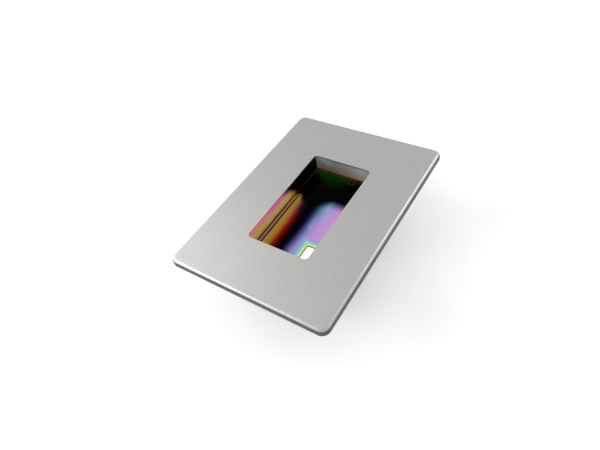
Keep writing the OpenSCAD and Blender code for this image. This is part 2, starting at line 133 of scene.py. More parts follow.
def surface(name, **values):
    """A new material, its node tree and its Principled shader, with values set on the shader's sockets."""
    material = bpy.data.materials.new(name)
    material.use_nodes = True
    shader = material.node_tree.nodes["Principled BSDF"]
    for key, value in values.items():
        shader.inputs[key.replace("_", " ")].default_value = value
    return material, material.node_tree, shader


def wire(tree, shader, **feeds):
    """Links outputs to a shader's inputs by name."""
    for key, source in feeds.items():
        tree.links.new(source, shader.inputs[key.replace("_", " ")])


def object_place(tree):
    """Object coordinates, in metres."""
    return add(tree, "TexCoord").node.outputs["Object"]


def axes(tree, place):
    """x, y and z of a place, in millimetres."""
    split = add(tree, "SeparateXYZ", place).node
    return [add(tree, "Math", out, 1 / MM, operation="MULTIPLY") for out in split.outputs]


def grain(tree, place, size_mm, detail=2.0, stretch=(1, 1, 1)):
    """Noise with grains about size_mm across."""
    turned = add(tree, "Mapping", place, Scale=stretch)
    return add(tree, "TexNoise", turned, 0.5 / (size_mm * MM), detail)


# ---- Mesh helpers ----

def finish_piece(name, bm, material, replaces, body=BODY, recalc=True):
    """Turns a bmesh into a piece that rides on a body and stands for a CAD node."""
    if recalc:
        bmesh.ops.remove_doubles(bm, verts=bm.verts, dist=1e-7)
        bmesh.ops.recalc_face_normals(bm, faces=bm.faces)
    mesh = bpy.data.meshes.new(name)
    bm.to_mesh(mesh)
    bm.free()
    piece = bpy.data.objects.new(name, mesh)
    bpy.context.scene.collection.objects.link(piece)
    mesh.materials.append(material)
    shade(piece)
    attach(piece, body)
    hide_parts(replaces)
    return piece


def shade(piece):
    """Smooth shading that breaks at sharp edges."""
    mesh = piece.data
    mesh.polygons.foreach_set("use_smooth", [True] * len(mesh.polygons))
    mesh.set_sharp_from_angle(angle=math.radians(SMOOTH_DEG))


def even(piece):
    """Keeps flat faces evenly lit where they meet small rounds."""
    weigh = piece.modifiers.new("even faces", "WEIGHTED_NORMAL")
    weigh.keep_sharp = True


def outline(bm, half_x, half_y, radius, z, segments):
    """Edges of a rounded rectangle: one square face with its corners bevelled and its middle taken out."""
    before = set(bm.faces)
    verts = bmesh.ops.create_grid(bm, x_segments=1, y_segments=1, size=1.0)["verts"]
    bmesh.ops.scale(bm, vec=(half_x, half_y, 1), verts=verts)
    bmesh.ops.translate(bm, vec=(0, 0, z), verts=verts)
    bmesh.ops.bevel(bm, geom=verts, offset=radius, offset_type="OFFSET", segments=segments,
                    profile=0.5, affect="VERTICES", material=-1)
    made = [face for face in bm.faces if face not in before]
    edges = list({edge for face in made for edge in face.edges})
    bmesh.ops.delete(bm, geom=made, context="FACES_ONLY")
    return edges


def loft(bm, sections, segments):
    """A ring of walls through rounded rectangles, each (half x, half y, radius, z), and back to the first."""
    # Loops in one plane bridge badly, so each starts a step above the last and comes down at the end
    step = 16 * MM
    loops = [outline(bm, x, y, r, z + i * step, segments) for i, (x, y, r, z) in enumerate(sections)]
    raised = [{vert for edge in loop for vert in edge.verts} for loop in loops]
    for one, other in zip(loops, loops[1:] + loops[:1]):
        bmesh.ops.bridge_loops(bm, edges=one + other)
    for i, verts in enumerate(raised):
        bmesh.ops.translate(bm, vec=(0, 0, -i * step), verts=list(verts))


def rounded(half_x, half_y, radius, z, edge, up, steps):
    """Sections that round an outer edge, from the wall to the face at z."""
    found = []
    for i in range(steps + 1):
        angle = math.pi / 2 * i / steps
        inset = edge * (1 - math.cos(angle))
        drop = edge * (1 - math.sin(angle))
        found.append((half_x - inset, half_y - inset, max(radius - inset, SHARP), z - up * drop))
    return found


def hollow(half_x, half_y, radius, width, low, high, edge):
    """Sections of a ring that is width wide, with its outer and inner edges broken by edge."""
    steps = 2
    outer = rounded(half_x, half_y, radius, low, edge, -1, steps)[::-1]
    outer += rounded(half_x, half_y, radius, high, edge, 1, steps)
    inner = []
    for i in range(steps + 1):
        angle = math.pi / 2 * i / steps
        grow = edge * (1 - math.sin(angle))
        inner.append((grow, high - edge * (1 - math.cos(angle))))
    inner += [(grow, low + high - z) for grow, z in inner[::-1]]
    return outer + [(half_x - width + grow, half_y - width + grow, max(radius - width + grow, SHARP), z)
                    for grow, z in inner]


def lathe(bm, profile, at, axis, segments=48):
    """Solid of revolution through profile, each (along the axis, radius), round axis from the point at."""
    turn = Vector(axis).to_track_quat("Z", "Y").to_matrix().to_4x4()
    place = Matrix.Translation(at) @ turn
    points = [bm.verts.new(place @ Vector((radius, 0, along))) for along, radius in profile]
    edges = [bm.edges.new(pair) for pair in zip(points, points[1:])]
    bmesh.ops.spin(bm, geom=points + edges, cent=at, axis=axis, dvec=(0, 0, 0),
                   angle=2 * math.pi, steps=segments, use_merge=True)


def rod(bm, radius, start, end, sides=32):
    """Closed rod between two points."""
    way = Vector(end) - Vector(start)
    turn = way.to_track_quat("Z", "Y").to_matrix().to_4x4()
    middle = (Vector(start) + Vector(end)) / 2
    bmesh.ops.create_cone(bm, cap_ends=True, segments=sides, radius1=radius, radius2=radius,
                          depth=way.length, matrix=Matrix.Translation(middle) @ turn)


def cuboid(bm, low, high, bevel=0.0, segments=2):
    """Closed box between two corners, with rounded edges if bevel is given."""
    low, high = Vector(low), Vector(high)
    made = bmesh.ops.create_cube(bm, size=1.0)["verts"]
    bmesh.ops.scale(bm, vec=high - low, verts=made)
    bmesh.ops.translate(bm, vec=(low + high) / 2, verts=made)
    if bevel:
        edges = list({edge for vert in made for edge in vert.link_edges})
        bmesh.ops.bevel(bm, geom=edges, offset=bevel, offset_type="OFFSET", segments=segments,
                        profile=0.5, affect="EDGES", material=-1)


def carve(piece, steps):
    """Applies Booleans to a piece. steps are (operation, shape), and shape fills a bmesh."""
    tools = []
    for operation, shape in steps:
        bm = bmesh.new()
        shape(bm)
        bmesh.ops.recalc_face_normals(bm, faces=bm.faces)
        mesh = bpy.data.meshes.new("tool")
        bm.to_mesh(mesh)
        bm.free()
        tool = bpy.data.objects.new("tool", mesh)
        bpy.context.scene.collection.objects.link(tool)
        tools.append(tool)
        step = piece.modifiers.new(operation.lower(), "BOOLEAN")
        step.operation = operation
        step.solver = "EXACT"
        step.object = tool
    view = bpy.context.evaluated_depsgraph_get()
    mesh = bpy.data.meshes.new_from_object(piece.evaluated_get(view))
    piece.modifiers.clear()
    old, name = piece.data, piece.data.name
    piece.data = mesh
    bpy.data.meshes.remove(old)
    mesh.name = name
    for tool in tools:
        spare = tool.data
        bpy.data.objects.remove(tool)
        bpy.data.meshes.remove(spare)
    shade(piece)


def softened(node, material, width, body=BODY):
    """A merged copy of a CAD node with its hard edges broken, which stands for the node."""
    bm = bmesh.new()
    bm.from_mesh(frame["nodes"][node].data)
    bmesh.ops.remove_doubles(bm, verts=bm.verts, dist=1e-6)
    bmesh.ops.dissolve_limit(bm, angle_limit=math.radians(1), verts=bm.verts, edges=bm.edges)
    piece = finish_piece(node + "_finished", bm, material, node, body, recalc=False)
    edge = piece.modifiers.new("broken edges", "BEVEL")
    edge.width = width
    edge.segments = 2
    edge.limit_method = "ANGLE"
    edge.angle_limit = math.radians(40)
    edge.use_clamp_overlap = False
    even(piece)


def dress(material, *nodes):
    """Gives CAD nodes whose shape is right their finished material."""
    for node in nodes:
        for one in frame["nodes"][node].material_slots:
            one.material = material


# ---- Materials ----

def anodised_aluminium(light, dark, side):
    """Bead-blasted, clear anodised aluminium: an even satin grey with a fine grain.

    Its edge below the round is painted darker as shade, with milled tool lines, and the recess walls are
    duller, with painted shading.
    """
    material, tree, shader = surface("bead-blasted anodised aluminium")
    place = object_place(tree)
    x, y, z = axes(tree, place)
    # Blasting grit is 0.1 mm; drawn at 0.4 mm so that it shows
    grit = grain(tree, place, 0.4, 3.0)
    cloud = grain(tree, place, 9.0)
    face = add(tree, "Mix", add(tree, "MapRange", grit, 0.25, 0.75), dark, light, data_type="RGBA")
    # The edge below the round is milled, with fine tool lines along it, and is painted darker as shade from
    # partway down the round
    lines = grain(tree, place, 0.3, 2.0, stretch=(0.06, 0.06, 1))
    edge = add(tree, "Mix", add(tree, "MapRange", lines, 0.3, 0.7), side, "5e6063", data_type="RGBA")
    low = add(tree, "MapRange", z, 3.15, 2.3, interpolation_type="SMOOTHSTEP")
    ground = add(tree, "Mix", low, face, edge, data_type="RGBA")
    # The recess walls were never blasted and are duller; their grey is painted shading: warm at the foot,
    # lighter up the wall and a painted shadow under the lip
    reach_x, reach_y = WELL_X / MM + 0.15, WELL_Y / MM + 0.2
    lip_low = (PLATE_HIGH.z - LIP_TALL) / MM
    width = add(tree, "Math", x, operation="ABSOLUTE")
    length = add(tree, "Math", y, operation="ABSOLUTE")
    inside = add(tree, "Math", add(tree, "Math", width, reach_x, operation="LESS_THAN"),
                 add(tree, "Math", length, reach_y, operation="LESS_THAN"), operation="MULTIPLY")
    within = add(tree, "Math", inside, add(tree, "MapRange", z, 3.05, lip_low), operation="MULTIPLY")
    wall = add(tree, "ValToRGB", add(tree, "MapRange", z, -5.4, lip_low), stops=[
        (0.0, "c4a890"), (0.1, "ccbca8"), (0.3, "c8c8c0"), (0.6, "d2d4d2"), (0.95, "cecece"),
        (1.0, "303032")])
    # Painted shade across the walls: darker in the middle, white towards both ends
    cast = add(tree, "ValToRGB", add(tree, "MapRange", x, -16.0, 16.0), stops=[
        (0.0, "ffffff"), (0.14, "e2e2e2"), (0.35, "bcbcb8"), (0.6, "cececa"), (0.8, "f4f6f6"),
        (1.0, "ffffff")])
    wall = add(tree, "Mix", 1.0, wall, cast, data_type="RGBA", blend_type="MULTIPLY")
    colour = add(tree, "Mix", within, ground, wall, data_type="RGBA")
    rough = add(tree, "Math", add(tree, "MapRange", grit, 0.3, 0.7, 0.36, 0.42),
                add(tree, "MapRange", cloud, 0.3, 0.7, -0.02, 0.02), operation="ADD")
    normal = add(tree, "Bump", Strength=0.25, Distance=0.01 * MM, Height=grit)
    wire(tree, shader, Base_Color=colour, Roughness=rough, Normal=normal,
         Metallic=add(tree, "MapRange", within, 0.0, 1.0, 1.0, 0.15))
    return material


def platen_film_and_painted_light():
    """Dark glass under a vacuum-laid interference film: black, with soft bands of gold, blue and pink.

    The film's bands are placed in millimetres on the glass. They are painted reflections of the side glass,
    the far wall, the gasket and the studio light, tinted by the film, and the glass glows a little with them
    as painted light.
    """
    material, tree, shader = surface("interference-coated platen glass with painted reflections", Roughness=0.2,
                                     Specular_IOR_Level=0.02, Emission_Strength=0.22)
    place = object_place(tree)
    x, y, _ = axes(tree, place)
    drift = grain(tree, place, 11.0, 1.0)
    wave = add(tree, "MapRange", drift, 0.2, 0.8, -0.6, 0.6)
    fade = gold_end(tree, x, y)
    gold = add(tree, "Mix", fade, "000000", gold_band(tree, x, y, wave), data_type="RGBA")
    blue = blue_band(tree, place, x, y, wave)
    colour = add(tree, "Mix", 1.0, gold, blue, data_type="RGBA", blend_type="ADD")
    colour = green_wedge(tree, x, y, colour)
    colour = window_halo(tree, x, y, colour)
    colour = painted_gasket_reflection(tree, x, y, fade, colour)
    # The gold band scatters more than the rest
    mirror = add(tree, "MapRange", x, -11.5, -8.0, 0.1, 0.8)
    # The colour also glows, as painted light
    wire(tree, shader, Base_Color=colour, Emission_Color=colour, Metallic=mirror)
    return material


def gold_band(tree, x, y, wave):
    """Painted reflection of the left side glass, tinted by the film: gold along the left wall, which widens
    towards the near end and turns purple at the far end.
    """
    slant = add(tree, "Math", add(tree, "Math", y, -8.0, operation="MAXIMUM"), 0.08, x,
                operation="MULTIPLY_ADD")
    left = add(tree, "MapRange", add(tree, "Math", wave, 0.4, slant, operation="MULTIPLY_ADD"),
               -17.6, -5.6)
    warm = add(tree, "ValToRGB", left, stops=[
        (0.24, "98844c"), (0.31, "ada02c"), (0.38, "a08a28"), (0.48, "a07e2e"), (0.55, "a45e1c"),
        (0.6, "a04014"), (0.66, "8a1a06"), (0.8, "4c0208"), (0.95, "0e0000"), (1.0, "000000")])
    violet = add(tree, "ValToRGB", left, stops=[
        (0.3, "b49a3c"), (0.4, "ac9220"), (0.46, "ac8a20"), (0.52, "9a7034"), (0.59, "82563e"),
        (0.65, "642e4a"), (0.7, "481a42"), (0.76, "200828"), (0.87, "080310"), (1.0, "000000")])
    far = add(tree, "MapRange", y, -6.0, 5.0, interpolation_type="SMOOTHSTEP")
    return add(tree, "Mix", far, warm, violet, data_type="RGBA")


def gold_end(tree, x, y):
    """1 along the gold band, falling to 0 at its rounded far end."""
    aside = add(tree, "Math", add(tree, "Math", x, 14.0, operation="ADD"), 2.0, operation="POWER")
    bow = add(tree, "Math", add(tree, "Math", aside, 0.4, operation="MULTIPLY"), 3.0, operation="MINIMUM")
    return add(tree, "MapRange", add(tree, "Math", y, bow, operation="ADD"), 11.2, 7.0,
               interpolation_type="SMOOTHSTEP")


def blue_band(tree, place, x, y, wave):
    """Painted reflection of the studio light, tinted by the film: blue to pink along the right wall, greener
    towards the far end, where it turns to plum and fades.
    """
    spread = add(tree, "Math", wave, add(tree, "MapRange", y, -12.0, -22.0, 0.0, 1.2), operation="ADD")
    right = add(tree, "MapRange", add(tree, "Math", x, spread, operation="ADD"), -3.5, 12.5)
    cool = add(tree, "ValToRGB", right, stops=[
        (0.0, "000004"), (0.125, "0c0a34"), (0.25, "484e80"), (0.375, "8086bc"), (0.5, "aa94d6"),
        (0.65, "c49ada"), (0.85, "d896da"), (1.0, "e298d0")])
    teal = add(tree, "ValToRGB", right, stops=[
        (0.0, "000002"), (0.125, "041c26"), (0.25, "306a74"), (0.375, "7498b8"), (0.5, "88aed8"),
        (0.65, "aa9cde"), (0.85, "c69ade"), (1.0, "cc96d4")])
    band = add(tree, "Mix", add(tree, "MapRange", y, -1.0, 7.0), cool, teal, data_type="RGBA")
    # The film is not quite even: streaks of stronger pink and clearer blue run across it
    streak = grain(tree, place, 2.6, 2.0, stretch=(1.0, 0.55, 1))
    pink = add(tree, "Math", add(tree, "MapRange", streak, 0.52, 0.66, 0.0, 0.55),
               add(tree, "MapRange", x, 3.0, 7.0), operation="MULTIPLY")
    band = add(tree, "Mix", pink, band, "f086c4", data_type="RGBA")
    clear = add(tree, "Math", add(tree, "MapRange", streak, 0.46, 0.34, 0.0, 0.5),
                add(tree, "MapRange", x, 0.0, 3.0), operation="MULTIPLY")
    band = add(tree, "Mix", clear, band, "92b4ec", data_type="RGBA")
    dusk = add(tree, "Math", add(tree, "MapRange", y, 7.0, 10.0), add(tree, "MapRange", x, 4.0, 13.0),
               operation="MULTIPLY")
    band = add(tree, "Mix", dusk, band, "f8c0d4", data_type="RGBA", blend_type="MULTIPLY")
    # The far end has a rounded shoulder
    shoulder = add(tree, "MapRange", x, 4.0, -1.0, 0.0, 2.5)
    tip = add(tree, "Math", wave, 1.2, add(tree, "Math", y, shoulder, operation="ADD"),
              operation="MULTIPLY_ADD")
    reach = add(tree, "MapRange", tip, 12.6, 6.0, interpolation_type="SMOOTHSTEP")
    return add(tree, "Mix", reach, "000000", band, data_type="RGBA")


def green_wedge(tree, x, y, under):
    """Adds a faint green wedge at the far end to the colour under it: a painted reflection of the far wall.
    """
    wedge = add(tree, "Math", add(tree, "Math", x, 4.0, operation="ADD"), operation="ABSOLUTE")
    wedge = add(tree, "Math", wedge, -0.75, y, operation="MULTIPLY_ADD")
    end = add(tree, "Math", add(tree, "MapRange", wedge, 14.0, 25.0, interpolation_type="SMOOTHSTEP"),
              add(tree, "MapRange", y, 19.0, 27.5, interpolation_type="SMOOTHSTEP"), operation="MULTIPLY")
    green = add(tree, "ValToRGB", add(tree, "MapRange", y, 25.0, 30.3), stops=[
        (0.0, "02300a"), (0.55, "0a3a06"), (0.75, "223a04"), (0.9, "3c3608"), (1.0, "4c4218")])
    return add(tree, "Mix", end, under, green, data_type="RGBA", blend_type="ADD")


def window_halo(tree, x, y, under):
    """Round the status window the film runs through yellow-green and cyan, after a dark rim: a painted glow
    of the lit window.
    """
    across = add(tree, "Math", WINDOW_LOW.x / MM, x, operation="SUBTRACT")
    along = add(tree, "Math", y, WINDOW_HIGH.y / MM, operation="SUBTRACT")
    gap = add(tree, "Math", add(tree, "Math", across, along, operation="MAXIMUM"), 0.0,
              operation="MAXIMUM")
    halo = add(tree, "ValToRGB", add(tree, "MapRange", gap, 0.0, 6.0), stops=[
        (0.0, "2a0c14"), (0.075, "3a1c18"), (0.12, "d0e88c"), (0.22, "c6f49c"), (0.36, "98dcc8"),
        (0.55, "8cb4dc"), (1.0, "9c96d4")])
    near = add(tree, "MapRange", gap, 6.0, 3.0, interpolation_type="SMOOTHSTEP")
    return add(tree, "Mix", near, under, halo, data_type="RGBA")


def painted_gasket_reflection(tree, x, y, fade, under):
    """Along the gasket the film shows the gasket's painted reflection: a copper line and then a plum one,
    both faint at the far end.
    """
    gasket_image = add(tree, "ValToRGB", add(tree, "MapRange", x, -16.4, -13.9), stops=[
        (0.0, "6a4028"), (0.2, "c08860"), (0.36, "d09468"), (0.48, "582a30"), (0.66, "46203c"),
        (0.84, "6c4c58"), (1.0, "99854c")])
    beside = add(tree, "Math", add(tree, "MapRange", x, -13.6, -14.2), fade, operation="MULTIPLY")
    colour = add(tree, "Mix", beside, under, gasket_image, data_type="RGBA")
    faint = add(tree, "Math", add(tree, "MapRange", y, 18.0, 28.0, 0.0, 0.6),
                add(tree, "MapRange", x, -15.5, -15.9), operation="MULTIPLY")
    return add(tree, "Mix", faint, colour, "5c444c", data_type="RGBA")


def side_film_and_painted_glow():
    """The same film on upright dark glass, with painted light: pink over gold as a glowing painted highlight,
    and black at the far end.
    """
    material, tree, shader = surface("interference-coated side glass with painted glow", Metallic=0.2, Roughness=0.22,
                                     Specular_IOR_Level=0.05, Emission_Strength=0.55)
    place = object_place(tree)
    _, y, z = axes(tree, place)
    drift = grain(tree, place, 8.0)
    level = add(tree, "Math", z, add(tree, "MapRange", drift, 0.2, 0.8, -0.5, 0.5), operation="ADD")
    up = add(tree, "MapRange", level, GLASS_LOW.z / MM, GLASS_HIGH.z / MM)
    middle = add(tree, "ValToRGB", up, stops=[
        (0.0, "180a04"), (0.05, "3c2410"), (0.1, "827650"), (0.2, "948e4c"), (0.33, "a09c50"),
        (0.5, "a49c50"), (0.62, "b47c80"), (0.75, "c45e90"), (1.0, "d8529c")])
    near = add(tree, "ValToRGB", up, stops=[
        (0.0, "1c0a06"), (0.05, "482a14"), (0.1, "886a58"), (0.2, "987e60"), (0.3, "a48860"),
        (0.45, "a89850"), (0.58, "bc8840"), (0.72, "d07850"), (0.85, "d07468"), (1.0, "c88488")])
    along = add(tree, "Mix", add(tree, "MapRange", y, -8.0, -24.0), middle, near, data_type="RGBA")
    # Deeper gold just before it goes dark
    deep = add(tree, "Math", add(tree, "MapRange", y, 2.0, 6.0), add(tree, "MapRange", z, 0.5, -1.0),
               operation="MULTIPLY")
    along = add(tree, "Mix", deep, along, "eed365", data_type="RGBA", blend_type="MULTIPLY")
    edge = add(tree, "Math", z, 0.85, y, operation="MULTIPLY_ADD")
    violet = add(tree, "Math", add(tree, "MapRange", edge, -1.0, 4.5, interpolation_type="SMOOTHSTEP"),
                 add(tree, "MapRange", z, -1.5, 1.5), operation="MULTIPLY")
    along = add(tree, "Mix", violet, along, "9c6ca4", data_type="RGBA", blend_type="MULTIPLY")
    reach = add(tree, "MapRange", edge, 7.2, 3.0, interpolation_type="SMOOTHSTEP")
    colour = add(tree, "Mix", reach, "000000", along, data_type="RGBA")
    # The colour also glows, as painted light
    wire(tree, shader, Base_Color=colour, Emission_Color=colour)
    return material


def silicone(light, dark):
    """Moulded copper-brown silicone, which darkens towards the far end, where the side light stops."""
    material, tree, shader = surface("moulded silicone", Roughness=0.45, Specular_IOR_Level=0.2)
    place = object_place(tree)
    _, y, _ = axes(tree, place)
    grit = grain(tree, place, 0.8)
    tone = add(tree, "Mix", add(tree, "MapRange", grit, 0.3, 0.7), "74341c", light, data_type="RGBA")
    # The strip across the far end catches light again
    far = add(tree, "Math", add(tree, "MapRange", y, 2.0, 12.0, interpolation_type="SMOOTHSTEP"),
              add(tree, "MapRange", y, 30.2, 29.8), operation="MULTIPLY")
    colour = add(tree, "Mix", far, tone, dark, data_type="RGBA")
    normal = add(tree, "Bump", Strength=0.5, Distance=0.006 * MM, Height=grit)
    wire(tree, shader, Base_Color=colour, Normal=normal)
    return material


def plastic(name, light, dark, rough, size_mm, depth_mm=0.01, **values):
    """Moulded plastic with the fine, even texture of its mould."""
    material, tree, shader = surface(name, **values)
    place = object_place(tree)
    grit = grain(tree, place, size_mm)
    cloud = grain(tree, place, 12.0)
    both = add(tree, "Math", grit, 0.6, add(tree, "Math", cloud, 0.4, operation="MULTIPLY"),
               operation="MULTIPLY_ADD")
    colour = add(tree, "Mix", add(tree, "MapRange", both, 0.3, 0.7), dark, light, data_type="RGBA")
    shine = add(tree, "MapRange", grit, 0.3, 0.7, rough - 0.05, rough + 0.06)
    normal = add(tree, "Bump", Strength=0.5, Distance=depth_mm * MM, Height=grit)
    wire(tree, shader, Base_Color=colour, Roughness=shine, Normal=normal)
    return material


def metal(name, light, dark, rough, size_mm, depth_mm=0.003):
    """Bare metal whose grain varies its shade and its gloss."""
    material, tree, shader = surface(name, Metallic=1.0)
    grit = grain(tree, object_place(tree), size_mm, 3.0)
    colour = add(tree, "Mix", add(tree, "MapRange", grit, 0.25, 0.75), dark, light, data_type="RGBA")
    shine = add(tree, "MapRange", grit, 0.25, 0.75, rough - 0.05, rough + 0.1)
    normal = add(tree, "Bump", Strength=0.4, Distance=depth_mm * MM, Height=grit)
    wire(tree, shader, Base_Color=colour, Roughness=shine, Normal=normal)
    return material


def opal():
    """Opal acrylic lit from behind: plain white with a trace of haze."""
    material, tree, shader = surface("lit opal acrylic", Roughness=0.3, Emission_Strength=1.0)
    haze = grain(tree, object_place(tree), 3.0)
    white = add(tree, "Mix", add(tree, "MapRange", haze, 0.3, 0.7), "f6f6f4", "ffffff", data_type="RGBA")
    wire(tree, shader, Base_Color=white, Emission_Color=white)
    return material


def foam(name, light, dark):
    """Closed-cell foam rubber: matt, with open cut cells about 0.5 mm across."""
    material, tree, shader = surface(name, Roughness=0.85, Specular_IOR_Level=0.25)
    place = object_place(tree)
    cell = 0.5 * MM
    cells = add(tree, "TexVoronoi", place, 0.5 / cell)
    soft = grain(tree, place, 4.0)
    mix = add(tree, "Math", cells, 0.7, soft, operation="MULTIPLY_ADD")
    colour = add(tree, "Mix", add(tree, "MapRange", mix, 0.4, 1.1), dark, light, data_type="RGBA")
    normal = add(tree, "Bump", Strength=0.7, Distance=0.06 * MM, Height=cells)
    wire(tree, shader, Base_Color=colour, Normal=normal)
    return material


def board(name, mask, track):
    """Printed circuit: green solder mask, lighter over copper tracks that stand slightly proud."""
    material, tree, shader = surface(name, Roughness=0.35)
    place = object_place(tree)
    spacing = 2.4 * MM
    tracks = add(tree, "TexBrick", place, mask, track, "0c3a1e", Scale=1 / spacing, Mortar_Size=0.12,
                 offset=0.5, offset_frequency=2)
    grit = grain(tree, place, 0.6)
    colour = add(tree, "Mix", add(tree, "MapRange", grit, 0.3, 0.7, 0.0, 0.25), tracks, "1a5a30",
                 data_type="RGBA")
    normal = add(tree, "Bump", Strength=0.4, Distance=0.03 * MM, Height=tracks)
    wire(tree, shader, Base_Color=colour, Normal=normal)
    return material


# ---- Settings ----

def colour_setting(name, description, default):
    """A colour a user can change, given as an sRGB hex value."""
    return FloatVectorProperty(name=name, description=description, subtype="COLOR", size=4, min=0.0, max=1.0,
                               default=srgb(default))


def length_setting(name, description, default):
    """A length a user can change, given in metres."""
    return FloatProperty(name=name, description=description, subtype="DISTANCE", unit="LENGTH", min=0.0,
                         precision=5, default=default)


def angle_setting(name, description, degrees):
    """An angle a user can change, kept in radians and shown in degrees."""
    return FloatProperty(name=name, description=description, subtype="ANGLE", default=math.radians(degrees))


class PlateSettings(bpy.types.PropertyGroup):
    """Front plate: the round along its edge, and its finish."""
    edge_round: length_setting("Edge round", "Radius of the round along the front edge", 1.9 * MM)
    lip_break: length_setting("Lip break", "Radius of the small round at the finger opening", 0.12 * MM)
    light: colour_setting("Light tone", "Lighter tone of the blasted face", "dbdad9")
    dark: colour_setting("Dark tone", "Darker tone of the blasted face", "d0cfce")
    # The edge tone is painted shade: the edge below the round is darker because of how light falls on it
    side: colour_setting("Edge tone", "Tone of the milled edge below the round", "44464a")


class RecessSettings(bpy.types.PropertyGroup):
    """Finger recess: gasket, status window and sensor ring."""
    gasket: colour_setting("Gasket", "Colour of the silicone gasket", "8a4628")
    gasket_far: colour_setting("Gasket, far", "Its colour beyond the side light", "301608")
    ring: colour_setting("Ring", "Colour of the finger sensor's ring", "640c0c")
    bead: length_setting("Gasket bead", "Radius of the gasket's rounded inner edge", 0.1 * MM)
    window_edge: length_setting("Window edge", "Radius of the status window's edges", 0.15 * MM)


class HousingSettings(bpy.types.PropertyGroup):
    """Housing, wall frame and seals."""
    housing: colour_setting("Housing", "Lighter tone of the housing's plastic", "2b2c2e")
    frame: colour_setting("Wall frame", "Colour of the wall frame's zinc plating", "b9bcc0")
    edge: length_setting("Edge break", "Radius of the broken edges", 0.25 * MM)


class TerminalSettings(bpy.types.PropertyGroup):
    """Screw terminals, tamper switch and programming button."""
    plug: colour_setting("Plug", "Lighter tone of the plug and its header", "3fa04a")
    button: colour_setting("Button", "Colour of the programming button", "b5251f")
    turns: FloatProperty(name="Spring turns", description="Turns of the tamper switch's spring",
                         default=5.0, min=2.0, max=8.0)


class StageSettings(bpy.types.PropertyGroup):
    """Studio: camera, lights and floor."""
    azimuth: angle_setting("Azimuth", "Camera's turn round the object", 42.17)
    elevation: angle_setting("Elevation", "Camera's height above the horizon", 47.35)
    roll: angle_setting("Roll", "Camera's tilt about its own axis", -13.04)
    lens: FloatProperty(name="Lens", description="Focal length in millimetres", default=29.73, min=10.0)
    distance: length_setting("Distance", "From the camera to its target", 228.56 * MM)
    target: FloatVectorProperty(name="Target", description="Point at the middle of the view",
                                subtype="TRANSLATION", size=3, default=(2.76 * MM, -14.45 * MM, 3.5 * MM))
    floor: colour_setting("Floor", "Colour of the floor", "f4f4f3")
    sky: colour_setting("Surround", "Colour of the light from all round", "ffffff")


GROUPS = {"plate": PlateSettings, "recess": RecessSettings, "housing": HousingSettings,
          "terminals": TerminalSettings, "stage": StageSettings}


def settings(group):
    """The scene's settings of one group."""
    return getattr(bpy.context.scene, "scanner_" + group)


# ---- Operators ----

class SCANNER_OT_plate(bpy.types.Operator):
    """Builds the front plate with its rounded edge, its finger opening and its rear pocket"""
    bl_idname = "scanner.plate"
    bl_label = "Front plate"

    def execute(self, context):
        own = settings("plate")
        x, y, z = PLATE_HIGH
        open_corner, plate_corner, pocket_corner = 2 * MM, 4 * MM, 3 * MM
        skirt_x, skirt_y = WELL_X + 1.5 * MM, WELL_Y + 1.5 * MM
        pocket_x, pocket_y = x - 3 * MM, y - 3 * MM
        skin, low = SEAL_HIGH.z, GASKET_HIGH.z
        fillet, chamfer, rear_break = 0.3 * MM, 0.15 * MM, 0.2 * MM
        # From the foot of the recess wall's outer side, round the pocket and the rim to the front face
        sections = [(skirt_x, skirt_y, SHARP, low), (skirt_x, skirt_y, SHARP, skin - fillet),
                    (skirt_x + fillet, skirt_y + fillet, fillet, skin),
                    (pocket_x, pocket_y, pocket_corner, skin),
                    (pocket_x, pocket_y, pocket_corner, chamfer),
                    (pocket_x + chamfer, pocket_y + chamfer, pocket_corner, 0)]
        sections += rounded(x, y, plate_corner, 0, rear_break, up=-1, steps=2)[::-1]
        sections += rounded(x, y, plate_corner, z, own.edge_round, up=1, steps=8)
        # Over the lip and down the recess
        for grow, drop in ((own.lip_break, 0), (own.lip_break * SOFT, own.lip_break * SOFT),
                           (0, own.lip_break), (0, LIP_TALL)):
            sections.append((OPEN_X + grow, OPEN_Y + grow, open_corner + grow, z - drop))
        sections += [(WELL_X, WELL_Y, SHARP, z - LIP_TALL), (WELL_X, WELL_Y, SHARP, low)]
        bm = bmesh.new()
        loft(bm, sections, segments=10)
        piece = finish_piece("front_plate_finished", bm, anodised_aluminium(own.light, own.dark, own.side),
                             replaces="front_plate")
        boss_x, boss_y = OPEN_X - 2.25 * MM, skirt_y + 1.5 * MM
        spots = [(side * boss_x, end * boss_y) for side in (-1, 1) for end in (-1, 1)]
        boss_r, screw_r = 1.65 * MM, 0.95 * MM
        light_pitch = 18.3 * MM
        light_half = Vector((3, 4, 1.8)) * MM
        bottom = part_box("platen_glass")[0].z

        def bosses(bm):
            for bx, by in spots:
                rod(bm, boss_r, (bx, by, bottom), (bx, by, skin + 0.2 * MM))

        def holes(bm):
            for bx, by in spots:
                rod(bm, screw_r, (bx, by, bottom - MM), (bx, by, skin - MM))
            for side in (-1, 1):
                for i in (-1, 0, 1):
                    middle = Vector((side * (skirt_x - 0.1 * MM), i * light_pitch, -1.5 * MM))
                    cuboid(bm, middle - light_half, middle + light_half)

        carve(piece, [("UNION", bosses), ("DIFFERENCE", holes)])
        even(piece)
        return {"FINISHED"}


